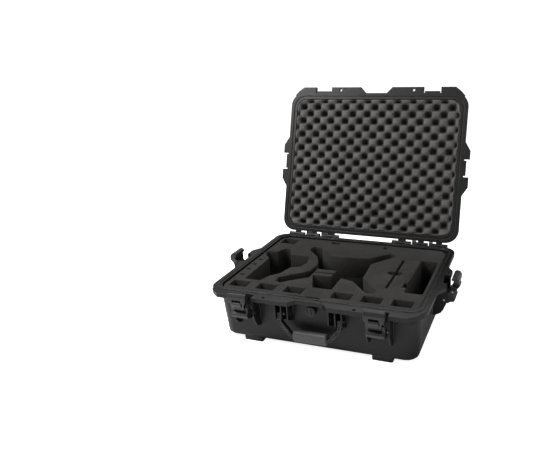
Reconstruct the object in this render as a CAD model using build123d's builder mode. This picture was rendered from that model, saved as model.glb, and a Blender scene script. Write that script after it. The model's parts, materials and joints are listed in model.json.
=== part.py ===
from build123d import *
import math
import os

# A hard transit case for a drone, standing open on its flat bottom.
# Origin: centre of the bottom panel. +X right, +Y towards the hinge, +Z up. Millimetres.

# ---- driving dimensions -------------------------------------------------------------
WALL = 4.0
RIM_HALF_X = 302.0
RIM_HALF_Y = 237.5
RIM_RADIUS = 42.0
RIM_Z = 156.0
FLANGE_THICK = 12.5
RIM_EDGE = 1.2
RIM_GAP = 0.4

TUB_TOP_HALF_X = 284.0
TUB_TOP_HALF_Y = 221.0
TUB_LOW_HALF_X = 275.0
TUB_LOW_HALF_Y = 212.0
TUB_RADIUS = 34.0
BEVEL_TOP_Z = 12.5
PANEL_HALF_X = 242.0
PANEL_HALF_Y = 178.0

LID_WALL_TOP_Z = 194.0
LID_PANEL_Z = 218.0
LID_WALL_HALF_X = 279.0
LID_WALL_HALF_Y = 216.0
LID_PANEL_HALF_X = 248.0
LID_PANEL_HALF_Y = 185.0
RIDGE = 2.4
LID_FOAM_FACE = 152.2

HINGE_Y = 248.0
HINGE_Z = 154.0
OPEN_ANGLE = 108.26
KNUCKLE_RADIUS = 6.5
HINGE_PIN_RADIUS = 2.5
RUNNING_GAP = 0.05

BUMP_Y = 257.0
BUMP_X = 319.0
PADLOCK_X = 125.0
PADLOCK_Y = 247.5
PADLOCK_RADIUS = 4.5

LATCH_GAP_HALF = 28.0
LATCH_HALF = 27.2
LEVER_HALF = 24.0
RIB = 3.5
RIB_OUT = 17.0
LEVER_PIN = (9.0, 106.0)
CLAW_PIN = (16.0, 136.0)
LEVER_SWING = 30.0
CLAW_TILT = 17.0
LEVER_PIN_RADIUS = 2.5
CLAW_PIN_RADIUS = 2.0
LOCK_TRAVEL = 6.0
LATCHES = {
    "front_left": Location((-185.5, -RIM_HALF_Y, 0), (0, 0, 0)),
    "front_right": Location((185.5, -RIM_HALF_Y, 0), (0, 0, 0)),
    "side_left": Location((-RIM_HALF_X, -2, 0), (0, 0, -90)),
    "side_right": Location((RIM_HALF_X, -2, 0), (0, 0, 90)),
}

HANDLE_RIBS = (57.0, 75.0, 92.0)
HANDLE_PIVOT_Y = -239.0
HANDLE_PIVOT_Z = 113.0
HANDLE_PIN_RADIUS = 3.0
GRIP_HALF = 47.0
GRIP_Z = 53.0

FOAM_HALF_X = 277.0
FOAM_HALF_Y = 214.0
FOAM_TOP = 151.0
FOAM_SPLIT = 84.0
FOAM_FLOOR = 30.0
FOAM_BOTTOM = 17.5
WEB_SLIT_BOTTOM = 122.0
TUB_DRAFT = math.degrees(math.atan2(TUB_TOP_HALF_X - TUB_LOW_HALF_X, RIM_Z - BEVEL_TOP_Z))

os.makedirs("parts", exist_ok=True)


# ---- shared shapes ------------------------------------------------------------------
def edges_at(shape, height):
    """Edges that lie flat at one height."""
    return shape.edges().filter_by(lambda edge: abs(edge.bounding_box().max.Z - height) < 0.05
                                   and abs(edge.bounding_box().min.Z - height) < 0.05)


def rounded_loft(levels):
    """Closed solid through rounded rectangles given as (z, half x, half y, corner radius)."""
    with BuildPart() as block:
        for z, half_x, half_y, radius in levels:
            with BuildSketch(Plane.XY.offset(z)):
                RectangleRounded(2 * half_x, 2 * half_y, radius)
        loft(ruled=True)
    return block.part


def side_plate(outline, centre, thick, corner=0, edge=0):
    """Plate standing across X, its outline in (outward, height) from the rim's edge."""
    with BuildPart() as plate:
        with BuildSketch(Plane.YZ.offset(centre - thick / 2)) as side:
            with BuildLine():
                Polyline(*[(-out, up) for out, up in outline], close=True)
            make_face()
            if corner:
                fillet(side.vertices(), corner)
        extrude(amount=thick)
        if edge:
            fillet(plate.faces().filter_by(Axis.X).edges(), edge)
    return plate.part


def cross_rod(out, up, radius, half):
    """Round rod along X, centred on X = 0, at a distance outward from the rim's edge."""
    with BuildPart() as rod:
        with BuildSketch(Plane.YZ.offset(-half)):
            with Locations((-out, up)):
                Circle(radius)
        extrude(amount=2 * half)
    return rod.part


def placed(shape, where):
    """A copy of a latch-local shape moved to its latch's place."""
    return where * shape


def finish(shape, label):
    """Name a finished piece and write it."""
    shape.label = label
    export_step(shape, f"parts/{label}.step")


# ---- rim: the flange outline that base and lid share --------------------------------
def front_bump(side):
    """Bump beside each padlock hole, between the handle and a latch."""
    return [
        (side * 36, -230),
        (side * 36, -238),
        (side * 54, -BUMP_Y),
        (side * 157.5, -BUMP_Y),
        (side * 157.5, -230),
    ]


def corner_bump(side):
    """Bump outside each front latch, running round the corner."""
    return [
        (side * 213.5, -215),
        (side * 213.5, -BUMP_Y),
        (side * 260, -BUMP_Y),
        (side * 278, -243),
        (side * 290, -230),
        (side * 270, -205),
    ]


def side_bump(side, inner_y, outer_y):
    """Bump in front of or behind a side latch."""
    chamfer_y = outer_y + math.copysign(27, inner_y - outer_y)
    return [
        (side * 290, inner_y),
        (side * BUMP_X, inner_y),
        (side * BUMP_X, chamfer_y),
        (side * RIM_HALF_X, outer_y),
        (side * 290, outer_y),
    ]


def rim_plate(low, high):
    """Flat flange ring area, still solid in the middle, with its bumps and padlock holes."""
    with BuildPart() as plate:
        with BuildSketch(Plane.XY.offset(low)):
            RectangleRounded(2 * RIM_HALF_X, 2 * RIM_HALF_Y, RIM_RADIUS)
            outlines = [front_bump(side) for side in (-1, 1)]
            outlines += [corner_bump(side) for side in (-1, 1)]
            outlines += [side_bump(side, -30, -85) for side in (-1, 1)]
            outlines += [side_bump(side, 26, 85) for side in (-1, 1)]
            for outline in outlines:
                with BuildLine():
                    Polyline(*outline, close=True)
                make_face()
            with Locations((-PADLOCK_X, -PADLOCK_Y), (PADLOCK_X, -PADLOCK_Y)):
                Circle(PADLOCK_RADIUS, mode=Mode.SUBTRACT)
        extrude(amount=high - low)
        fillet(plate.faces().filter_by(Axis.Z).edges(), RIM_EDGE)
    return plate.part


# ---- hinge knuckles: sets of three on each side, base at the ends, lid in the middle --
HINGE_SETS = ((92, 110, 136, 154.5), (161.5, 176, 195, 209.5), (216.5, 234, 254, 272))


def knuckle(low_x, high_x, web_low, web_high):
    """Round eye on the hinge axis with a web that ties it to a flange."""
    with BuildPart() as eye:
        with BuildSketch(Plane.YZ.offset(low_x)):
            with Locations((HINGE_Y, HINGE_Z)):
                Circle(KNUCKLE_RADIUS)
            with BuildLine():
                Polyline(
                    (RIM_HALF_Y - 4, web_low),
                    (HINGE_Y, HINGE_Z - KNUCKLE_RADIUS if web_low < HINGE_Z - 4 else web_low),
                    (HINGE_Y, web_high if web_high < HINGE_Z + 4 else HINGE_Z + KNUCKLE_RADIUS),
                    (RIM_HALF_Y - 4, web_high),
                    close=True,
                )
            make_face()
            with Locations((HINGE_Y, HINGE_Z)):
                Circle(HINGE_PIN_RADIUS + RUNNING_GAP, mode=Mode.SUBTRACT)
        extrude(amount=high_x - low_x)
    return eye.part


def hinge_eyes(part_of_set, web_low, web_high):
    """All the eyes of one half, on both sides of the case."""
    eyes = []
    for first, second, third, last in HINGE_SETS:
        spans = [(first, second), (third, last)] if part_of_set == "base" else [(second + 0.5, third - 0.5)]
        for low_x, high_x in spans:
            eyes.append(knuckle(low_x, high_x, web_low, web_high))
            eyes.append(knuckle(-high_x, -low_x, web_low, web_high))
    return eyes


# ---- base shell ---------------------------------------------------------------------
base_outer = rounded_loft(
    [
        (0, PANEL_HALF_X, PANEL_HALF_Y, 16),
        (BEVEL_TOP_Z, TUB_LOW_HALF_X, TUB_LOW_HALF_Y, TUB_RADIUS),
        (RIM_Z, TUB_TOP_HALF_X, TUB_TOP_HALF_Y, TUB_RADIUS),
    ]
)
base_inner = rounded_loft(
    [
        (WALL, PANEL_HALF_X - 3, PANEL_HALF_Y - 3, 14),
        (BEVEL_TOP_Z + WALL, TUB_LOW_HALF_X - WALL, TUB_LOW_HALF_Y - WALL, TUB_RADIUS - WALL),
        (RIM_Z + 5, TUB_TOP_HALF_X - WALL, TUB_TOP_HALF_Y - WALL, TUB_RADIUS - WALL),
    ]
)
base_outer = fillet(edges_at(base_outer, BEVEL_TOP_Z), 9)
base_outer = fillet(edges_at(base_outer, 0), 6)
base_rim = rim_plate(RIM_Z - FLANGE_THICK, RIM_Z)
corner_flare = rounded_loft(
    [
        (118, TUB_TOP_HALF_X - 4, TUB_TOP_HALF_Y - 4, TUB_RADIUS - 2),
        (RIM_Z - FLANGE_THICK + 2, RIM_HALF_X - 2, RIM_HALF_Y - 2, RIM_RADIUS - 2),
    ]
)
TONGUE_HALF_X = TUB_TOP_HALF_X + 5.2
TONGUE_HALF_Y = TUB_TOP_HALF_Y + 5.2
TONGUE_RADIUS = TUB_RADIUS + 4
LATCH_RIB = [(-20, 145), (RIB_OUT, 145), (RIB_OUT, 100), (7, 76), (0, 66), (-14, 58), (-22, 56)]
HANDLE_RIB = [(-20, 145), (14.5, 145), (14.5, 104), (4, 97), (-20, 86)]
REAR_RIB = [(-20, 145), (16.5, 145), (20, 133), (17, 98), (0, 78), (-24, 66)]
SHORT_RIB = [(-20, 145), (13, 145), (13, 139), (2, 131), (-20, 121)]
latch_ribs = [side_plate(LATCH_RIB, side * (LATCH_GAP_HALF + RIB / 2), RIB, edge=0.8) for side in (-1, 1)]
latch_ribs += [side_plate(SHORT_RIB, side * (LATCH_GAP_HALF + 15), RIB, edge=0.8) for side in (-1, 1)]
lever_bore = cross_rod(*LEVER_PIN, LEVER_PIN_RADIUS + RUNNING_GAP, LATCH_GAP_HALF + RIB + 1)

with BuildPart() as corner_gussets:
    add(corner_flare)
    with GridLocations(2 * RIM_HALF_X, 2 * RIM_HALF_Y, 2, 2):
        Box(140, 120, 400, mode=Mode.INTERSECT)

with BuildPart() as base_shell:
    add(base_outer)
    add(base_rim)
    add(corner_gussets.part)
    for where in LATCHES.values():
        for rib in latch_ribs:
            add(placed(rib, where))
    for side in (-1, 1):
        for rib_x in HANDLE_RIBS:
            add(Pos(side * rib_x, -RIM_HALF_Y, 0) * side_plate(HANDLE_RIB, 0, RIB, edge=0.8))
        for rib_x in (158, 213):
            rear_place = Location((side * rib_x, RIM_HALF_Y, 0), (0, 0, 180))
            add(rear_place * side_plate(REAR_RIB, 0, RIB, edge=0.8))
    for eye in hinge_eyes("base", RIM_Z - FLANGE_THICK, RIM_Z - 1):
        add(eye)
    with BuildSketch(Plane.XY):
        with GridLocations(371, 380, 2, 2):
            RectangleRounded(56, 44, 5)
    extrude(amount=BEVEL_TOP_Z + 1)
    with BuildSketch(Plane.XY.offset(RIM_Z - 1)):
        RectangleRounded(2 * TONGUE_HALF_X, 2 * TONGUE_HALF_Y, TONGUE_RADIUS)
        RectangleRounded(
            2 * TONGUE_HALF_X - 4.8, 2 * TONGUE_HALF_Y - 4.8, TONGUE_RADIUS - 2.4, mode=Mode.SUBTRACT
        )
    extrude(amount=3)
    add(base_inner, mode=Mode.SUBTRACT)
    for where in LATCHES.values():
        add(placed(lever_bore, where), mode=Mode.SUBTRACT)
    with BuildSketch(Plane.YZ.offset(-96)):
        with Locations((HANDLE_PIVOT_Y, HANDLE_PIVOT_Z)):
            Circle(HANDLE_PIN_RADIUS + RUNNING_GAP)
    extrude(amount=192, mode=Mode.SUBTRACT)
    with BuildSketch(Plane.XZ.offset(TUB_TOP_HALF_Y - 12)):
        with Locations((0, 124)):
            Circle(8.05)
    extrude(amount=30, mode=Mode.SUBTRACT)
finish(base_shell.part, "base_shell")


# ---- pins ---------------------------------------------------------------------------
with BuildPart() as hinge_pins:
    for first, _, _, last in HINGE_SETS:
        for low_x in (first, -last):
            with BuildSketch(Plane.YZ.offset(low_x)):
                with Locations((HINGE_Y, HINGE_Z)):
                    Circle(HINGE_PIN_RADIUS)
            extrude(amount=last - first)
finish(hinge_pins.part, "hinge_pins")

with BuildPart() as handle_pins:
    for low_x in (HANDLE_RIBS[1] - 5, -HANDLE_RIBS[2] - 3):
        with BuildSketch(Plane.YZ.offset(low_x)):
            with Locations((HANDLE_PIVOT_Y, HANDLE_PIVOT_Z)):
                Circle(HANDLE_PIN_RADIUS)
        extrude(amount=HANDLE_RIBS[2] - HANDLE_RIBS[1] + 8)
finish(handle_pins.part, "handle_pins")

lever_pin = cross_rod(*LEVER_PIN, LEVER_PIN_RADIUS, LATCH_GAP_HALF + RIB)
with BuildPart() as latch_pins:
    for where in LATCHES.values():
        add(placed(lever_pin, where))
finish(latch_pins.part, "latch_pins")


# ---- pressure valve in the front wall -----------------------------------------------
VALVE_FACE_Y = 219.5
with BuildPart() as valve_body:
    with BuildSketch(Plane.XZ.offset(VALVE_FACE_Y - 6.5)):
        with Locations((0, 124)):
            Circle(8)
            Circle(5.5, mode=Mode.SUBTRACT)
    extrude(amount=9)
    with BuildSketch(Plane.XZ.offset(VALVE_FACE_Y + 2.5)):
        with Locations((0, 124)):
            Circle(13)
            Circle(5.5, mode=Mode.SUBTRACT)
    extrude(amount=5)
finish(valve_body.part, "valve_body")

with BuildPart() as valve_seal:
    with BuildSketch(Plane.XZ.offset(VALVE_FACE_Y + 0.9)):
        with Locations((0, 124)):
            Circle(11.5)
            Circle(8.1, mode=Mode.SUBTRACT)
    extrude(amount=1.5)
finish(valve_seal.part, "valve_seal")

with BuildPart() as valve_membrane:
    with BuildSketch(Plane.XZ.offset(VALVE_FACE_Y - 3)):
        with Locations((0, 124)):
            Circle(5.4)
    extrude(amount=0.8)
finish(valve_membrane.part, "valve_membrane")

with BuildPart() as valve_cap:
    with BuildSketch(Plane.XZ.offset(VALVE_FACE_Y + 7.6)):
        with Locations((0, 124)):
            Circle(14.5)
    extrude(amount=5.5, taper=12)
    with BuildSketch(Plane.XZ.offset(VALVE_FACE_Y + 13.1)):
        with Locations((0, 124)):
            Rectangle(5, 22)
            with PolarLocations(9.5, 2, 0):
                Rectangle(3, 7)
    extrude(amount=2.4)
finish(valve_cap.part, "valve_cap")


# ---- foam: floor pad, lower layer and upper layer with the cut-outs ------------------
def slot(x0, y0, x1, y1, width):
    """Round-ended slot between two points."""
    along = math.degrees(math.atan2(y1 - y0, x1 - x0))
    with BuildSketch() as shape:
        with Locations(Location(((x0 + x1) / 2, (y0 + y1) / 2, 0), (0, 0, along))):
            SlotCenterToCenter(math.hypot(x1 - x0, y1 - y0), width)
    return shape.sketch


def pocket(outline, radius=0):
    """Pocket outline with its corners rounded."""
    with BuildSketch() as shape:
        with BuildLine():
            Polyline(*outline, close=True)
        make_face()
        if radius:
            fillet(shape.vertices(), radius)
    return shape.sketch


def box_pocket(x0, x1, y0, y1):
    """Plain rectangular pocket."""
    return pocket([(x0, y0), (x1, y0), (x1, y1), (x0, y1)])


BATTERY_X = (-236.0, -153.0, -71.0, 66.0, 148.0, 229.0)
BATTERY_HALF_X = 27.0
BATTERY_Y = (-190.0, -154.0)
shallow_pockets = [box_pocket(x - BATTERY_HALF_X, x + BATTERY_HALF_X, *BATTERY_Y) for x in BATTERY_X]
shallow_pockets.append(box_pocket(-22, 16, -212, -199))
shallow_pockets += [box_pocket(-268, -256, y - 5, y + 5) for y in (-112, -72, -33, 4)]
shallow_pockets.append(box_pocket(204, 216, -78, -48))
shallow_pockets.append(
    pocket(
        [(-150, -106), (-124, -82), (-92, -54), (-78, -38), (-76, 14), (-64, 4), (-64, -82),
         (-80, -94), (-110, -118), (-130, -136), (-147, -130)],
    )
)
shallow_pockets.append(
    pocket(
        [(58, -70), (84, -96), (106, -122), (122, -138), (141, -137), (147, -118), (122, -92),
         (98, -62), (80, -36)],
    )
)
shallow_pockets.append(slot(165, -92, 165, 108, 7))
shallow_pockets.append(slot(154, 8, 175, 8, 22))
shallow_pockets.append(box_pocket(-266, -214, 156, 198))
shallow_pockets.append(box_pocket(-98, -70, 188, 206))
shallow_pockets.append(box_pocket(78, 92, 186, 204))
deep_pockets = [
    pocket(
        [(-192, -138), (-240, -138), (-240, 20), (-262, 44), (-270, 58), (-270, 74), (-238, 76),
         (-234, 98), (-224, 109), (-208, 109), (-198, 92), (-186, 65), (-124, 65), (-112, 14),
         (-120, -18), (-146, -28), (-158, -78), (-180, -102)],
    ),
    pocket([(-60, -64), (-30, -142), (26, -142), (26, -64)]),
    pocket(
        [(-64, -18), (-4, -18), (-4, -64), (28, -65), (60, -74), (84, -40), (78, 56), (98, 84),
         (130, 126), (132, 143), (112, 149), (90, 128), (60, 96), (-20, 84), (-57, 87), (-84, 112),
         (-106, 137), (-114, 148), (-138, 148), (-146, 134), (-144, 118), (-124, 98), (-100, 72),
         (-84, 40), (-76, 12)],
    ),
    pocket([(217, -108), (267, -108), (267, 120), (217, 120)], 8),
]


def foam_layer(low, high):
    """Slice of the foam block between two heights, its sides following the tub's draft."""
    shrink = (RIM_Z - low) * math.tan(math.radians(TUB_DRAFT))
    with BuildPart() as layer:
        with BuildSketch(Plane.XY.offset(low)):
            RectangleRounded(2 * (FOAM_HALF_X - shrink), 2 * (FOAM_HALF_Y - shrink), TUB_RADIUS - 2 * WALL)
        extrude(amount=high - low, taper=-TUB_DRAFT)
    return layer.part


def cut_layer(low, high, cuts):
    """Foam slice with pockets cut straight through it."""
    blank = foam_layer(low, high)
    with BuildPart() as layer:
        add(blank)
        with BuildSketch(Plane.XY.offset(low)):
            for cut in cuts:
                add(cut)
        extrude(amount=high - low, mode=Mode.SUBTRACT)
    return layer.part


finish(foam_layer(FOAM_BOTTOM, FOAM_FLOOR), "foam_floor_pad")
finish(cut_layer(FOAM_FLOOR, FOAM_SPLIT, deep_pockets), "foam_lower_layer")
with BuildPart() as foam_upper_layer:
    add(cut_layer(FOAM_SPLIT, FOAM_TOP, deep_pockets + shallow_pockets))
    with BuildSketch(Plane.XY.offset(WEB_SLIT_BOTTOM)):
        with Locations((-33, -42)):
            Rectangle(66, 8)
    extrude(amount=FOAM_TOP - WEB_SLIT_BOTTOM, mode=Mode.SUBTRACT)
finish(foam_upper_layer.part, "foam_upper_layer")


# ---- handle -------------------------------------------------------------------------
ARM_X = (HANDLE_RIBS[1] + HANDLE_RIBS[2]) / 2
FRAME_LINE = [
    (-ARM_X, HANDLE_PIVOT_Z),
    (-ARM_X, 90),
    (-54, GRIP_Z),
    (54, GRIP_Z),
    (ARM_X, 90),
    (ARM_X, HANDLE_PIVOT_Z),
]
ARM_CORES = [
    (ARM_X, 102, 0),
    (ARM_X, 94.5, 0),
    (79.5, 84.5, -39),
    (74.6, 78.4, -39),
    (69.7, 72.3, -39),
    (64.8, 66.2, -39),
]
with BuildPart() as handle_frame:
    with BuildSketch(Plane.XZ.offset(-HANDLE_PIVOT_Y - 7)):
        with BuildLine():
            frame_line = FilletPolyline(*FRAME_LINE, radius=12)
            offset(frame_line, amount=5.5, side=Side.BOTH)
        make_face()
        with Locations((-ARM_X, HANDLE_PIVOT_Z), (ARM_X, HANDLE_PIVOT_Z)):
            Circle(6.5)
    extrude(amount=14)
    fillet(handle_frame.faces().filter_by(Axis.Y).edges(), 2)
    with BuildSketch(Plane.XZ.offset(-HANDLE_PIVOT_Y + 4)):
        for side in (-1, 1):
            for x, z, lean in ARM_CORES:
                with Locations(Location((side * x, z, 0), (0, 0, side * lean))):
                    Rectangle(6.4, 5.2)
    extrude(amount=6, mode=Mode.SUBTRACT)
    with BuildSketch(Plane.YZ.offset(-ARM_X - 8)):
        with Locations((HANDLE_PIVOT_Y, HANDLE_PIVOT_Z)):
            Circle(HANDLE_PIN_RADIUS + RUNNING_GAP)
    extrude(amount=2 * ARM_X + 16, mode=Mode.SUBTRACT)
finish(handle_frame.part, "handle_frame")

with BuildPart() as handle_grip:
    with BuildSketch(Plane.YZ.offset(-GRIP_HALF)):
        with Locations((HANDLE_PIVOT_Y, GRIP_Z)):
            RectangleRounded(22, 33, 9)
            Rectangle(14.2, 11.2, mode=Mode.SUBTRACT)
    extrude(amount=2 * GRIP_HALF)
finish(handle_grip.part, "handle_grip")


# ---- lid: modelled closed, then swung open about the hinge ---------------------------
LID_RIM_Z = RIM_Z + RIM_GAP
LID_FLANGE_TOP = LID_RIM_Z + FLANGE_THICK
opened = Pos(0, HINGE_Y, HINGE_Z) * Rot(-OPEN_ANGLE, 0, 0) * Pos(0, -HINGE_Y, -HINGE_Z)

lid_outer = rounded_loft(
    [
        (LID_RIM_Z, TUB_TOP_HALF_X, TUB_TOP_HALF_Y, TUB_RADIUS),
        (LID_WALL_TOP_Z, LID_WALL_HALF_X, LID_WALL_HALF_Y, TUB_RADIUS),
        (LID_PANEL_Z, LID_PANEL_HALF_X, LID_PANEL_HALF_Y, TUB_RADIUS - 12),
    ]
)
lid_inner = rounded_loft(
    [
        (LID_RIM_Z - 5, TUB_TOP_HALF_X - WALL, TUB_TOP_HALF_Y - WALL, TUB_RADIUS - WALL),
        (LID_WALL_TOP_Z - 6, LID_WALL_HALF_X - WALL, LID_WALL_HALF_Y - WALL, TUB_RADIUS - WALL),
        (LID_PANEL_Z - WALL - 6, LID_PANEL_HALF_X + 8, LID_PANEL_HALF_Y + 8, TUB_RADIUS - 12),
        (LID_PANEL_Z - WALL, LID_PANEL_HALF_X - 12, LID_PANEL_HALF_Y - 12, TUB_RADIUS - 18),
    ]
)
lid_outer = fillet(edges_at(lid_outer, LID_WALL_TOP_Z), 22)
lid_outer = fillet(edges_at(lid_outer, LID_PANEL_Z), 18)
lid_rim = rim_plate(LID_RIM_Z, LID_FLANGE_TOP)
lid_rib_blank = rounded_loft(
    [
        (LID_RIM_Z, TUB_TOP_HALF_X + RIDGE, TUB_TOP_HALF_Y + RIDGE, TUB_RADIUS),
        (LID_WALL_TOP_Z + RIDGE / 2, LID_WALL_HALF_X + RIDGE, LID_WALL_HALF_Y + RIDGE, TUB_RADIUS),
        (LID_PANEL_Z + RIDGE, LID_PANEL_HALF_X, LID_PANEL_HALF_Y, TUB_RADIUS - 12),
    ]
)
lid_rib_blank = fillet(edges_at(lid_rib_blank, LID_WALL_TOP_Z + RIDGE / 2), 22)
lid_rib_blank = fillet(edges_at(lid_rib_blank, LID_PANEL_Z + RIDGE), 18)


def arc_band(start, middle, end):
    """Narrow band along a three-point arc, as a flat sketch."""
    with BuildSketch() as band:
        with BuildLine():
            arc = ThreePointArc(start, middle, end)
            offset(arc, amount=1.6, side=Side.BOTH)
        make_face()
    return band.sketch


with BuildPart() as lid_ridges:
    with BuildSketch(Plane.XY.offset(LID_FLANGE_TOP - 2)):
        add(arc_band((-215, -190), (0, -146), (215, -190)))
        add(arc_band((-150, 176), (0, 160), (150, 176)))
        for side in (-1, 1):
            add(arc_band((side * 279, -165), (side * 262, -148), (side * 255, -120)))
            add(arc_band((side * 279, 165), (side * 262, 148), (side * 255, 120)))
            for y in (-29, 27):
                with Locations((side * 272, y)):
                    Rectangle(38, RIB)
            for x, inner_y in ((157, -160), (214, -190)):
                with Locations((side * x, (-230 + inner_y) / 2)):
                    Rectangle(RIB, 230 + inner_y)
    extrude(amount=80)
    add(lid_rib_blank, mode=Mode.INTERSECT)

LID_REAR_RIB = [(-30, 162), (12, 162), (22.5, 170), (22.5, 203), (4, 214), (-30, 218)]
STRIKER = [(-6, 158.5), (6, 158.5), (7, 160), (7, 167.5), (-6, 168)]
striker_bar = side_plate(STRIKER, 0, 2 * LATCH_GAP_HALF - 8)
with BuildPart() as lid_shell:
    add(lid_outer)
    add(lid_rim)
    add(lid_ridges.part)
    for where in LATCHES.values():
        add(placed(striker_bar, where))
    for side in (-1, 1):
        for rib_x in (158, 213):
            add(Location((side * rib_x, RIM_HALF_Y, 0), (0, 0, 180)) * side_plate(LID_REAR_RIB, 0, RIB))
    for eye in hinge_eyes("lid", LID_RIM_Z + 1, LID_FLANGE_TOP):
        add(eye)
    add(lid_inner, mode=Mode.SUBTRACT)
    with BuildSketch(Plane.XY.offset(LID_RIM_Z)):
        RectangleRounded(2 * TONGUE_HALF_X + 2.4, 2 * TONGUE_HALF_Y + 2.4, TONGUE_RADIUS + 1.2)
        RectangleRounded(
            2 * TONGUE_HALF_X - 7.2, 2 * TONGUE_HALF_Y - 7.2, TONGUE_RADIUS - 3.6, mode=Mode.SUBTRACT
        )
    extrude(amount=5, mode=Mode.SUBTRACT)
finish(opened * lid_shell.part, "lid_shell")

with BuildPart() as lid_gasket:
    with BuildSketch(Plane.XY.offset(LID_RIM_Z + 2.4)):
        RectangleRounded(2 * TONGUE_HALF_X + 2.0, 2 * TONGUE_HALF_Y + 2.0, TONGUE_RADIUS + 1.0)
        RectangleRounded(
            2 * TONGUE_HALF_X - 6.8, 2 * TONGUE_HALF_Y - 6.8, TONGUE_RADIUS - 3.4, mode=Mode.SUBTRACT
        )
    extrude(amount=2.4)
finish(opened * lid_gasket.part, "lid_gasket")

lid_foam = rounded_loft(
    [
        (LID_FOAM_FACE, TUB_TOP_HALF_X - WALL - 1.8, TUB_TOP_HALF_Y - WALL - 1.8, TUB_RADIUS - WALL),
        (LID_RIM_Z, TUB_TOP_HALF_X - WALL - 1.8, TUB_TOP_HALF_Y - WALL - 1.8, TUB_RADIUS - WALL),
        (LID_WALL_TOP_Z - 10, LID_WALL_HALF_X - WALL - 1.8, LID_WALL_HALF_Y - WALL - 1.8, TUB_RADIUS - WALL),
        (LID_PANEL_Z - WALL - 10, LID_PANEL_HALF_X + 4, LID_PANEL_HALF_Y + 4, TUB_RADIUS - 12),
        (LID_PANEL_Z - WALL - 1, LID_PANEL_HALF_X - 18, LID_PANEL_HALF_Y - 18, TUB_RADIUS - 18),
    ]
)
finish(opened * lid_foam, "lid_foam")

with BuildPart() as lid_badge:
    with BuildSketch(Plane.XY.offset(LID_PANEL_Z + 0.05)):
        with Locations((125, 150)):
            RectangleRounded(62, 15, 3)
    extrude(amount=1.0)
finish(opened * lid_badge.part, "lid_badge")


# ---- latches: lever on the base, claw on the lever, slide lock on the claw -----------
def about_point(point, degrees):
    """Rotation outward about a cross axis at (outward, height)."""
    out, up = point
    return Pos(0, -out, up) * Rot(degrees, 0, 0) * Pos(0, out, -up)


CLAW_PROFILE = [
    (8.5, 130),
    (8.5, 168.9),
    (1.5, 169.3),
    (1.5, 176),
    (6, 181.5),
    (15, 182),
    (22, 176),
    (25, 165),
    (25, 141),
    (22, 130),
]
CLAW_FRONT = [
    (-LATCH_HALF, 190),
    (-LATCH_HALF, 167),
    (-17.5, 149),
    (-17.5, 120),
    (17.5, 120),
    (17.5, 149),
    (LATCH_HALF, 167),
    (LATCH_HALF, 190),
]
LEVER_PROFILE = [
    (4, 100),
    (4, 112),
    (8.5, 141),
    (13, 144),
    (19, 144),
    (23, 128),
    (33, 124),
    (34, 114),
    (26, 107),
    (22, 99),
    (11, 95),
]
FORK_GAP_HALF = 18.0
claw_full = side_plate(CLAW_PROFILE, 0, 2 * LATCH_HALF, corner=1.4, edge=1.5)
lever_full = side_plate(LEVER_PROFILE, 0, 2 * LEVER_HALF, corner=1.8, edge=1.5)
claw_room = side_plate([(0, 126), (0, 150), (40, 150), (40, 126)], 0, 2 * FORK_GAP_HALF)
thumb_scoop = cross_rod(40, 103, 11, 14)
lever_bore_tight = cross_rod(*LEVER_PIN, LEVER_PIN_RADIUS + RUNNING_GAP, LATCH_HALF + 1)
claw_bore = cross_rod(*CLAW_PIN, CLAW_PIN_RADIUS + RUNNING_GAP, LATCH_HALF + 1)
lock_room = side_plate([(20.5, 146), (20.5, 169), (30, 169), (30, 146)], 0, 27)
lock_body = side_plate(
    [(20.8, 146.5), (20.8, 160), (25.5, 161), (29, 158.5), (29, 155), (26, 146.5)],
    0,
    26,
    corner=0.7,
    edge=0.6,
)
claw_pin_rod = cross_rod(*CLAW_PIN, CLAW_PIN_RADIUS, LEVER_HALF - 1)

with BuildPart() as latch_lever:
    add(lever_full)
    add(claw_room, mode=Mode.SUBTRACT)
    add(thumb_scoop, mode=Mode.SUBTRACT)
    add(lever_bore_tight, mode=Mode.SUBTRACT)
    add(claw_bore, mode=Mode.SUBTRACT)

with BuildPart() as latch_claw:
    add(claw_full)
    with BuildSketch(Plane.XZ):
        with BuildLine():
            Polyline(*CLAW_FRONT, close=True)
        make_face()
    extrude(amount=60, both=True, mode=Mode.INTERSECT)
    add(lock_room, mode=Mode.SUBTRACT)
    add(claw_bore, mode=Mode.SUBTRACT)

lever_open = about_point(LEVER_PIN, LEVER_SWING)
claw_open = lever_open * about_point(CLAW_PIN, CLAW_TILT - LEVER_SWING)
for place, where in LATCHES.items():
    finish(where * lever_open * latch_lever.part, f"latch_lever_{place}")
    finish(where * lever_open * claw_pin_rod, f"latch_claw_pin_{place}")
    finish(where * claw_open * latch_claw.part, f"latch_claw_{place}")
    finish(where * claw_open * lock_body, f"latch_lock_{place}")
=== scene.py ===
import json
import math

import bmesh
import bpy
from mathutils import Matrix, Vector, noise


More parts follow.
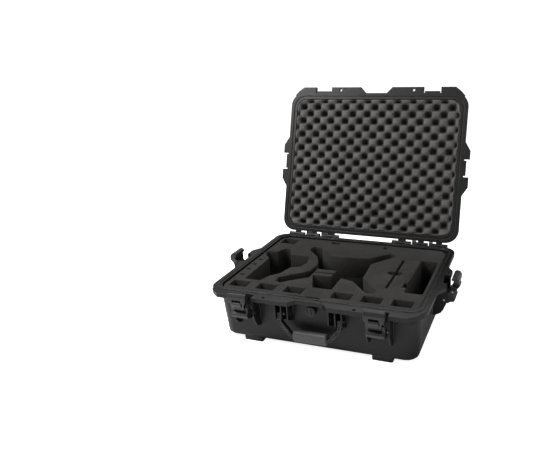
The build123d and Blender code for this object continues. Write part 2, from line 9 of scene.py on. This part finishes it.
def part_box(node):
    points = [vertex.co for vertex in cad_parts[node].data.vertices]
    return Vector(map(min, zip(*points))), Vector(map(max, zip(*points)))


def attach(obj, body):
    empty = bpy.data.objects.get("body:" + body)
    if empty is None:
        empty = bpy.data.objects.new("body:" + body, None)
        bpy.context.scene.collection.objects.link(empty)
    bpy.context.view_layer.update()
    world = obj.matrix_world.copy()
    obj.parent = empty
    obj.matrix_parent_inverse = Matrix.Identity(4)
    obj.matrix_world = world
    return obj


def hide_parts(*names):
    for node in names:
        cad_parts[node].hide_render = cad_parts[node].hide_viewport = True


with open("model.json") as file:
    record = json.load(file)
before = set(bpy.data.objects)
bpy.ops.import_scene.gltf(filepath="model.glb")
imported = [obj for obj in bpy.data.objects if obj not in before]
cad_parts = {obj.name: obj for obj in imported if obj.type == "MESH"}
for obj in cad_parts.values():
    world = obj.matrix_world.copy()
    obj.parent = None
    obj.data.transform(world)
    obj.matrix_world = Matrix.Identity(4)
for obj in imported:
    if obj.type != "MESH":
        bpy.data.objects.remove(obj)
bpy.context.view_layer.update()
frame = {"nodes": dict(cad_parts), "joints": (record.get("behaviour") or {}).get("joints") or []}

# ---- the studio ------------------------------------------------------------------------
# A pale floor under the case, a camera in front of it to the right, and three soft lights:
# a large one overhead to the left, a weak fill from the camera's side and a rim light behind.
camera_azimuth = math.radians(20.814)
camera_elevation = math.radians(18.525)
camera_roll = math.radians(-2.188)
camera = bpy.data.objects.new("camera", bpy.data.cameras.new("camera"))
bpy.context.scene.collection.objects.link(camera)
bpy.context.scene.camera = camera
camera.location = (0.53518, -1.43493, 0.79924)
away = Vector((
    math.sin(camera_azimuth) * math.cos(camera_elevation),
    -math.cos(camera_azimuth) * math.cos(camera_elevation),
    math.sin(camera_elevation),
))
across = Vector((0, 0, 1)).cross(away).normalized()
upward = away.cross(across)
turned_x = across * math.cos(camera_roll) + upward * math.sin(camera_roll)
turned_y = upward * math.cos(camera_roll) - across * math.sin(camera_roll)
camera.rotation_mode = "QUATERNION"
camera.rotation_quaternion = Matrix((turned_x, turned_y, away)).transposed().to_quaternion()
camera.data.lens = 37.704
camera.data.sensor_width = 36.0
camera.data.shift_x = -0.12037
camera.data.clip_start = 0.05
camera.data.clip_end = 30.0

sheet = bmesh.new()
bmesh.ops.create_grid(sheet, x_segments=1, y_segments=1, size=60.0)
floor = bpy.data.objects.new("floor", bpy.data.meshes.new("floor"))
sheet.to_mesh(floor.data)
sheet.free()
bpy.context.scene.collection.objects.link(floor)

floor_paint = bpy.data.materials.new("pale_floor")
floor_paint.use_nodes = True
floor_shader = floor_paint.node_tree.nodes["Principled BSDF"]
floor_shader.inputs["Base Color"].default_value = (0.97, 0.97, 0.97, 1)
floor_shader.inputs["Roughness"].default_value = 0.6
floor_shader.inputs["Emission Strength"].default_value = 0.86
floor_seen = floor_paint.node_tree.nodes.new("ShaderNodeLightPath")
floor_paint.node_tree.links.new(floor_seen.outputs["Is Camera Ray"], floor_shader.inputs["Emission Color"])
floor.data.materials.append(floor_paint)

surroundings = bpy.data.worlds.new("studio")
surroundings.use_nodes = True
air = surroundings.node_tree
seen = air.nodes.new("ShaderNodeLightPath")
plain = air.nodes.new("ShaderNodeMapRange")
plain.inputs["To Min"].default_value = 0.29
plain.inputs["To Max"].default_value = 1.05
air.links.new(seen.outputs["Is Camera Ray"], plain.inputs["Value"])
air.links.new(plain.outputs["Result"], air.nodes["Background"].inputs["Strength"])
air.nodes["Background"].inputs["Color"].default_value = (1, 1, 1, 1)
bpy.context.scene.world = surroundings
bpy.context.scene.view_settings.view_transform = "Standard"


def soft_light(name, place, target, size, power):
    """A square area light that looks at a point."""
    lamp = bpy.data.objects.new(name, bpy.data.lights.new(name, "AREA"))
    lamp.data.shape = "SQUARE"
    lamp.data.size = size
    lamp.data.energy = power
    lamp.location = place
    aim = Vector(target) - Vector(place)
    lamp.rotation_mode = "QUATERNION"
    lamp.rotation_quaternion = aim.to_track_quat("-Z", "Y")
    bpy.context.scene.collection.objects.link(lamp)


soft_light("key", (-1.35, -0.8, 1.95), (0, 0, 0.15), 1.1, 58)
soft_light("fill", (1.8, -1.8, 1.2), (0, 0, 0.2), 1.6, 12)
soft_light("back", (-0.4, 1.9, 1.9), (0, 0.2, 0.3), 1.2, 22)


# ---- the base shell ------------------------------------------------------------------------
# One deep injection moulding in black polypropylene: tub, flange, latch ribs, handle ribs and
# feet. Its skin has a fine spark texture, satin on the flats, and paler edges: rubbed wear plus a painted
# highlight.
def effect_group(name, inputs, outputs):
    """An empty shader node group with named sockets, and its two end nodes."""
    group = bpy.data.node_groups.new(name, "ShaderNodeTree")
    for label, kind in inputs:
        group.interface.new_socket(name=label, in_out="INPUT", socket_type=kind)
    for label, kind in outputs:
        group.interface.new_socket(name=label, in_out="OUTPUT", socket_type=kind)
    return group, group.nodes.new("NodeGroupInput"), group.nodes.new("NodeGroupOutput")


def noise_at(tree, scale, detail, roughness=0.5):
    """A noise texture on object coordinates."""
    place = tree.nodes.new("ShaderNodeTexCoord")
    pattern = tree.nodes.new("ShaderNodeTexNoise")
    pattern.inputs["Scale"].default_value = scale
    pattern.inputs["Detail"].default_value = detail
    pattern.inputs["Roughness"].default_value = roughness
    tree.links.new(place.outputs["Object"], pattern.inputs["Vector"])
    return pattern.outputs["Fac"]


def ranged(tree, value, from_low, from_high, to_low, to_high):
    """A value mapped from one range to another, clamped."""
    ramp = tree.nodes.new("ShaderNodeMapRange")
    ramp.inputs["From Min"].default_value = from_low
    ramp.inputs["From Max"].default_value = from_high
    ramp.inputs["To Min"].default_value = to_low
    ramp.inputs["To Max"].default_value = to_high
    tree.links.new(value, ramp.inputs["Value"])
    return ramp.outputs["Result"]


def blended(tree, amount, first, second):
    """Two colours mixed by an amount."""
    mix = tree.nodes.new("ShaderNodeMix")
    mix.data_type = "RGBA"
    tree.links.new(amount, mix.inputs["Factor"])
    for socket, colour in ((mix.inputs["A"], first), (mix.inputs["B"], second)):
        if isinstance(colour, tuple):
            socket.default_value = (*colour, 1)
        else:
            tree.links.new(colour, socket)
    return mix.outputs["Result"]


soft_edges, soft_in, soft_out = effect_group(
    "soft_edges",
    [("Radius", "NodeSocketFloat")],
    [("Normal", "NodeSocketVector"), ("Edge", "NodeSocketFloat")],
)
edge_bevel = soft_edges.nodes.new("ShaderNodeBevel")
edge_bevel.samples = 6
edge_face = soft_edges.nodes.new("ShaderNodeNewGeometry")
edge_turn = soft_edges.nodes.new("ShaderNodeVectorMath")
edge_turn.operation = "DOT_PRODUCT"
soft_edges.links.new(soft_in.outputs["Radius"], edge_bevel.inputs["Radius"])
soft_edges.links.new(edge_bevel.outputs["Normal"], edge_turn.inputs[0])
soft_edges.links.new(edge_face.outputs["Normal"], edge_turn.inputs[1])
soft_edges.links.new(edge_bevel.outputs["Normal"], soft_out.inputs["Normal"])
edge_wear_and_sheen_mask = ranged(soft_edges, edge_turn.outputs["Value"], 0.98, 0.80, 0.0, 1.0)
soft_edges.links.new(edge_wear_and_sheen_mask, soft_out.inputs["Edge"])

moulded_skin, skin_in, skin_out = effect_group(
    "moulded_skin",
    [("Tone", "NodeSocketColor"), ("Rubbed_and_edge_sheen", "NodeSocketColor"), ("Edge", "NodeSocketFloat")],
    [("Color", "NodeSocketColor"), ("Roughness", "NodeSocketFloat"), ("Height", "NodeSocketFloat")],
)
flow = noise_at(moulded_skin, 7.0, 4.0)
scuffs = ranged(moulded_skin, noise_at(moulded_skin, 85.0, 6.0, 0.7), 0.60, 0.80, 0.0, 0.10)
wear_and_edge_sheen = moulded_skin.nodes.new("ShaderNodeMath")
wear_and_edge_sheen.operation = "MAXIMUM"
wear_and_edge_sheen.use_clamp = True
moulded_skin.links.new(scuffs, wear_and_edge_sheen.inputs[0])
# Painted highlight: edges are paled toward the rubbed colour to stand in for edge highlights as well as
# rubbed wear; the random scuffs are real wear.
edge_wear_and_sheen = moulded_skin.nodes.new("ShaderNodeMath")
edge_wear_and_sheen.operation = "MULTIPLY"
moulded_skin.links.new(skin_in.outputs["Edge"], edge_wear_and_sheen.inputs[0])
edge_wear_and_sheen_patches = ranged(moulded_skin, noise_at(moulded_skin, 26.0, 5.0), 0.35, 0.65, 0.35, 1.0)
moulded_skin.links.new(edge_wear_and_sheen_patches, edge_wear_and_sheen.inputs[1])
moulded_skin.links.new(edge_wear_and_sheen.outputs["Value"], wear_and_edge_sheen.inputs[1])
moulded_skin.links.new(
    blended(moulded_skin, wear_and_edge_sheen.outputs["Value"], skin_in.outputs["Tone"], skin_in.outputs["Rubbed_and_edge_sheen"]),
    skin_out.inputs["Color"],
)
moulded_skin.links.new(ranged(moulded_skin, flow, 0.3, 0.7, 0.34, 0.50), skin_out.inputs["Roughness"])
moulded_skin.links.new(noise_at(moulded_skin, 1300.0, 2.0), skin_out.inputs["Height"])


def moulded_resin(name, tone, rubbed_and_edge_sheen, edge_radius, grain):
    """Moulded plastic with a grained skin, soft edges, and edges paled by rubbed wear and a painted
    highlight.
    """
    material = bpy.data.materials.new(name)
    material.use_nodes = True
    tree = material.node_tree
    shader = tree.nodes["Principled BSDF"]
    shader.inputs["Specular IOR Level"].default_value = 0.36
    edges = tree.nodes.new("ShaderNodeGroup")
    edges.node_tree = soft_edges
    edges.inputs["Radius"].default_value = edge_radius
    skin = tree.nodes.new("ShaderNodeGroup")
    skin.node_tree = moulded_skin
    skin.inputs["Tone"].default_value = (*tone, 1)
    skin.inputs["Rubbed_and_edge_sheen"].default_value = (*rubbed_and_edge_sheen, 1)
    bump = tree.nodes.new("ShaderNodeBump")
    bump.inputs["Strength"].default_value = grain
    bump.inputs["Distance"].default_value = 0.0003
    tree.links.new(edges.outputs["Edge"], skin.inputs["Edge"])
    tree.links.new(skin.outputs["Color"], shader.inputs["Base Color"])
    tree.links.new(skin.outputs["Roughness"], shader.inputs["Roughness"])
    tree.links.new(skin.outputs["Height"], bump.inputs["Height"])
    tree.links.new(edges.outputs["Normal"], bump.inputs["Normal"])
    tree.links.new(bump.outputs["Normal"], shader.inputs["Normal"])
    return material


def finish_in(material, *names):
    """Give carried-over nodes their material."""
    for name in names:
        mesh = frame["nodes"][name].data
        mesh.materials.clear()
        mesh.materials.append(material)


shell_resin = moulded_resin("shell_resin", (0.0045, 0.0044, 0.0048), (0.17, 0.17, 0.175), 0.0014, 0.5)
finish_in(shell_resin, "base_shell")


# ---- the foam in the base -------------------------------------------------------------------
# Closed cell charcoal foam in three layers: a floor pad, a lower layer with the deep wells and
# an upper layer with every cut-out. Water-jet cut, with slightly crushed edges.
foam_cells, cells_in, cells_out = effect_group(
    "foam_cells",
    [("Tone", "NodeSocketColor"), ("Speck", "NodeSocketColor"), ("Cells", "NodeSocketFloat")],
    [("Color", "NodeSocketColor"), ("Height", "NodeSocketFloat")],
)
cell_place = foam_cells.nodes.new("ShaderNodeTexCoord")
cell_walls = foam_cells.nodes.new("ShaderNodeTexVoronoi")
foam_cells.links.new(cell_place.outputs["Object"], cell_walls.inputs["Vector"])
foam_cells.links.new(cells_in.outputs["Cells"], cell_walls.inputs["Scale"])
patches = ranged(foam_cells, noise_at(foam_cells, 14.0, 5.0), 0.3, 0.7, 0.0, 0.45)
specks = ranged(foam_cells, noise_at(foam_cells, 420.0, 3.0), 0.42, 0.72, 0.0, 1.0)
speckle = foam_cells.nodes.new("ShaderNodeMath")
speckle.operation = "ADD"
speckle.use_clamp = True
foam_cells.links.new(patches, speckle.inputs[0])
foam_cells.links.new(specks, speckle.inputs[1])
foam_cells.links.new(
    blended(foam_cells, speckle.outputs["Value"], cells_in.outputs["Tone"], cells_in.outputs["Speck"]),
    cells_out.inputs["Color"],
)
foam_cells.links.new(cell_walls.outputs["Distance"], cells_out.inputs["Height"])


def foam_material(name, tone, speck, cells, depth):
    """Matte foam whose cut face shows its cells."""
    material = bpy.data.materials.new(name)
    material.use_nodes = True
    tree = material.node_tree
    shader = tree.nodes["Principled BSDF"]
    shader.inputs["Roughness"].default_value = 0.92
    shader.inputs["Specular IOR Level"].default_value = 0.25
    shader.inputs["Sheen Weight"].default_value = 0.08
    shader.inputs["Sheen Roughness"].default_value = 0.5
    skin = tree.nodes.new("ShaderNodeGroup")
    skin.node_tree = foam_cells
    skin.inputs["Tone"].default_value = (*tone, 1)
    skin.inputs["Speck"].default_value = (*speck, 1)
    skin.inputs["Cells"].default_value = cells
    bump = tree.nodes.new("ShaderNodeBump")
    bump.inputs["Strength"].default_value = 0.7
    bump.inputs["Distance"].default_value = depth
    tree.links.new(skin.outputs["Color"], shader.inputs["Base Color"])
    tree.links.new(skin.outputs["Height"], bump.inputs["Height"])
    tree.links.new(bump.outputs["Normal"], shader.inputs["Normal"])
    return material


def new_piece(name, shape, body, material, smooth_below=40):
    """A finished mesh piece: linked, shaded and riding on its body, under the given name."""
    mesh = bpy.data.meshes.new(name)
    bmesh.ops.recalc_face_normals(shape, faces=shape.faces)
    shape.to_mesh(mesh)
    shape.free()
    piece = bpy.data.objects.new(name, mesh)
    bpy.context.scene.collection.objects.link(piece)
    mesh.materials.append(material)
    mesh.shade_smooth()
    mesh.set_sharp_from_angle(angle=math.radians(smooth_below))
    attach(piece, body)
    return piece


foam_weld = 2e-5
foam_corner_angle = math.radians(40)
foam_crushed_edge = 0.0011
painted_shade_start, painted_shade_end = 0.003, 0.040
cut_foam = foam_material("cut_foam", (0.0065, 0.0061, 0.0056), (0.034, 0.0318, 0.0296), 900.0, 0.0011)
foam_tree = cut_foam.node_tree
foam_shader = foam_tree.nodes["Principled BSDF"]
foam_place = foam_tree.nodes.new("ShaderNodeTexCoord")
foam_axes = foam_tree.nodes.new("ShaderNodeSeparateXYZ")
foam_tree.links.new(foam_place.outputs["Object"], foam_axes.inputs["Vector"])
foam_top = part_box("foam_upper_layer")[1][2]
# Painted shade: the foam colour darkens with depth below the top face, down the walls of the wells.
painted_well_shade = ranged(
    foam_tree, foam_axes.outputs["Z"], foam_top - painted_shade_start, foam_top - painted_shade_end, 0.0, 0.45
)
foam_face = foam_shader.inputs["Base Color"].links[0].from_socket
foam_colour = blended(foam_tree, painted_well_shade, foam_face, (0.004, 0.0038, 0.0036))
foam_tree.links.new(foam_colour, foam_shader.inputs["Base Color"])
for layer in ("foam_floor_pad", "foam_lower_layer", "foam_upper_layer"):
    block = bmesh.new()
    block.from_mesh(frame["nodes"][layer].data)
    bmesh.ops.remove_doubles(block, verts=block.verts, dist=foam_weld)
    corners = [
        edge for edge in block.edges if edge.is_manifold and edge.calc_face_angle() > foam_corner_angle
    ]
    bmesh.ops.bevel(
        block, geom=corners, offset=foam_crushed_edge, offset_type="OFFSET", segments=2, profile=0.5,
        affect="EDGES", material=-1, clamp_overlap=False,
    )
    pad = new_piece(layer + "_cut", block, "base", cut_foam)
    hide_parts(layer)


# ---- pins -----------------------------------------------------------------------------------
# Stainless steel rods: six short hinge pins, one for each set of eyes, a pin for each handle
# arm, and two in each latch. They are plain drawn rod, slightly uneven in gloss.
pin_steel = bpy.data.materials.new("pin_steel")
pin_steel.use_nodes = True
pin_tree = pin_steel.node_tree
pin_shader = pin_tree.nodes["Principled BSDF"]
pin_shader.inputs["Base Color"].default_value = (0.55, 0.55, 0.56, 1)
pin_shader.inputs["Metallic"].default_value = 1.0
pin_gloss = ranged(pin_tree, noise_at(pin_tree, 300.0, 4.0), 0.3, 0.7, 0.24, 0.42)
pin_tree.links.new(pin_gloss, pin_shader.inputs["Roughness"])
finish_in(pin_steel, "hinge_pins", "handle_pins", "latch_pins")


# ---- the pressure valve ---------------------------------------------------------------------
# A resin body let into the front wall, with a round knob that has one raised bar, a rubber
# seal behind its collar and a white breathable film inside.
trim_resin = moulded_resin("trim_resin", (0.008, 0.008, 0.0083), (0.17, 0.17, 0.175), 0.0011, 0.3)
seal_rubber = moulded_resin("seal_rubber", (0.012, 0.012, 0.012), (0.03, 0.03, 0.03), 0.0004, 0.15)
vent_film = moulded_resin("vent_film", (0.62, 0.62, 0.60), (0.7, 0.7, 0.68), 0.0002, 0.8)
finish_in(trim_resin, "valve_body", "valve_cap")
finish_in(seal_rubber, "valve_seal")
finish_in(vent_film, "valve_membrane")


# ---- the handle -----------------------------------------------------------------------------
# A glass-filled nylon bow on two pins, with a soft ribbed sleeve moulded over its bar. The
# sleeve's ribs run round the bar, and its ends are rounded over.
# The pale edge colours of the bow and the sleeve paint highlights along their edges, together with rubbed
# wear.
handle_nylon = moulded_resin("handle_nylon", (0.008, 0.008, 0.0083), (0.34, 0.34, 0.345), 0.0018, 0.3)
finish_in(handle_nylon, "handle_frame")
grip_rubber = moulded_resin("grip_rubber", (0.066, 0.066, 0.067), (0.24, 0.24, 0.24), 0.0008, 0.5)
grip_low, grip_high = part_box("handle_grip")
grip_low, grip_high = Vector(grip_low), Vector(grip_high)
grip_clearance = 0.0002
grip_corner = 0.0095
rib_pitch, rib_depth = 0.0058, 0.0011
plain_end = 0.006
end_round, end_drop = 0.0045, 0.004
grip_middle = (grip_low + grip_high) / 2
grip_size = grip_high - grip_low
sleeve = bmesh.new()
bmesh.ops.create_cube(sleeve, size=1.0)
bmesh.ops.scale(sleeve, vec=grip_size - Vector((grip_clearance,) * 3), verts=sleeve.verts)
long_edges = [edge for edge in sleeve.edges if abs((edge.verts[0].co - edge.verts[1].co).x) > 0.01]
bmesh.ops.bevel(
    sleeve, geom=long_edges, offset=grip_corner, offset_type="OFFSET", segments=7, profile=0.5,
    affect="EDGES", material=-1, clamp_overlap=False,
)
cuts = int(grip_size.x / (rib_pitch / 4))
for step in range(1, cuts):
    place = -grip_size.x / 2 + step * rib_pitch / 4
    whole = sleeve.verts[:] + sleeve.edges[:] + sleeve.faces[:]
    bmesh.ops.bisect_plane(sleeve, geom=whole, plane_co=(place, 0, 0), plane_no=(1, 0, 0))
for vert in sleeve.verts:
    from_end = grip_size.x / 2 - abs(vert.co.x)
    groove = 0.5 - 0.5 * math.cos(2 * math.pi * vert.co.x / rib_pitch)
    drop = rib_depth * groove if from_end > plain_end else 0.0
    drop += end_drop * max(0.0, 1 - from_end / end_round) ** 2
    reach = math.hypot(vert.co.y, vert.co.z)
    vert.co.y *= 1 - drop / reach
    vert.co.z *= 1 - drop / reach
bmesh.ops.translate(sleeve, vec=grip_middle, verts=sleeve.verts)
grip = new_piece("handle_sleeve", sleeve, "handle", grip_rubber, 60)
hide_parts("handle_grip")


# ---- the lid --------------------------------------------------------------------------------
# The shallow half of the case in the same black resin, with moulded ridges on its panel, the
# strikers for the latches, and a silicone cord pressed into the groove of its flange.
finish_in(shell_resin, "lid_shell")
finish_in(seal_rubber, "lid_gasket")
badge_resin = moulded_resin("badge_resin", (0.15, 0.15, 0.155), (0.3, 0.3, 0.3), 0.0006, 0.2)
finish_in(badge_resin, "lid_badge")


# ---- the foam in the lid --------------------------------------------------------------------
# A slab of open cell charcoal foam with an egg crate face: rounded peaks between deep round
# hollows in staggered rows. It is pressed into the lid and held by its own spring.
lid_hinge = next(joint for joint in frame["joints"] if joint["name"] == "lid_hinge")
hinge_point = Vector(lid_hinge["pos_m"])
lid_opening = (
    Matrix.Translation(hinge_point)
    @ Matrix.Rotation(-math.radians(lid_hinge["range_deg"][1]), 4, "X")
    @ Matrix.Translation(-hinge_point)
)
crate_half_x, crate_half_y, crate_radius = 0.2780, 0.2150, 0.030
crate_face, crate_back = 0.1532, 0.2115
crate_pitch_x, crate_pitch_y = 0.051, 0.0468
crate_start_x, crate_start_y = -0.281, -0.214
crate_depth, crate_sharpness = 0.028, 1.9
crate_border, crate_border_hollow = 0.007, 0.25
crate_rim_reach, crate_rim_round = 0.004, 0.003
crate_waver, crate_waver_scale = 0.0006, 55
crate_side_share, crate_back_share = 0.978, 0.93
crate_side_z = crate_back - 0.025
crate_columns, crate_rows = 224, 176
crate = bmesh.new()
bmesh.ops.create_grid(crate, x_segments=crate_columns, y_segments=crate_rows, size=1.0)
hollow_layer = crate.verts.layers.float.new("hollow")
rim_edges = [edge for edge in crate.edges if edge.is_boundary]
for vert in crate.verts:
    y = vert.co.y * crate_half_y
    past = max(0.0, abs(y) - (crate_half_y - crate_radius))
    half_x = crate_half_x - crate_radius + math.sqrt(max(0.0, crate_radius**2 - past**2))
    x = vert.co.x * half_x
    wave = math.cos(2 * math.pi * (x - crate_start_x) / crate_pitch_x)
    wave *= math.cos(2 * math.pi * (y - crate_start_y) / crate_pitch_y)
    hollow = ((1 + wave) / 2) ** crate_sharpness
    to_side = min(half_x - abs(x), crate_half_y - abs(y))
    hollow *= crate_border_hollow + (1 - crate_border_hollow) * min(1.0, to_side / crate_border)
    rounding = crate_rim_round * max(0.0, 1 - to_side / crate_rim_reach) ** 2
    waver = crate_waver * noise.noise(Vector((x, y, 0)) * crate_waver_scale)
    vert.co = (x, y, crate_face + crate_depth * hollow + rounding + waver)
    vert[hollow_layer] = hollow
walls = bmesh.ops.extrude_edge_only(crate, edges=rim_edges)
side_verts = [item for item in walls["geom"] if isinstance(item, bmesh.types.BMVert)]
for vert in side_verts:
    vert.co = (vert.co.x * crate_side_share, vert.co.y * crate_side_share, crate_side_z)
walls = bmesh.ops.extrude_edge_only(
    crate, edges=[item for item in walls["geom"] if isinstance(item, bmesh.types.BMEdge) and item.is_boundary]
)
for vert in [item for item in walls["geom"] if isinstance(item, bmesh.types.BMVert)]:
    vert.co = (vert.co.x * crate_back_share, vert.co.y * crate_back_share, crate_back)
bmesh.ops.holes_fill(crate, edges=[edge for edge in crate.edges if edge.is_boundary])
bmesh.ops.transform(crate, matrix=lid_opening, verts=crate.verts)
crate_foam = foam_material("crate_foam", (0.070, 0.067, 0.064), (0.150, 0.144, 0.139), 760.0, 0.0010)
crate_tree = crate_foam.node_tree
# Painted shade: the hollows of the egg crate are darkened by their depth, read from the hollow attribute.
depth_of = crate_tree.nodes.new("ShaderNodeAttribute")
depth_of.attribute_name = "hollow"
crate_shader = crate_tree.nodes["Principled BSDF"]
lit_colour = crate_shader.inputs["Base Color"].links[0].from_socket
painted_hollow_shade = ranged(crate_tree, depth_of.outputs["Fac"], 0.17, 0.48, 0.0, 0.95)
shaded = blended(crate_tree, painted_hollow_shade, lit_colour, (0.006, 0.0055, 0.005))
crate_tree.links.new(shaded, crate_shader.inputs["Base Color"])
egg_crate = new_piece("lid_egg_crate_foam", crate, "lid", crate_foam, 80)
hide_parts("lid_foam")


# ---- the latches ----------------------------------------------------------------------------
# Two-stage latches: a lever turns on a steel pin between two ribs of the base, and a claw on
# the lever hooks the lid. A small slide on the claw locks it. All are smooth black nylon.
latch_resin = moulded_resin("latch_resin", (0.0065, 0.0065, 0.0068), (0.20, 0.20, 0.205), 0.0015, 0.15)
latch_shader = latch_resin.node_tree.nodes["Principled BSDF"]
latch_shader.inputs["Coat Roughness"].default_value = 0.16
latch_shader.inputs["Coat Weight"].default_value = 0.3
for place in ("front_left", "front_right", "side_left", "side_right"):
    finish_in(latch_resin, f"latch_lever_{place}", f"latch_claw_{place}", f"latch_lock_{place}")
    finish_in(pin_steel, f"latch_claw_pin_{place}")
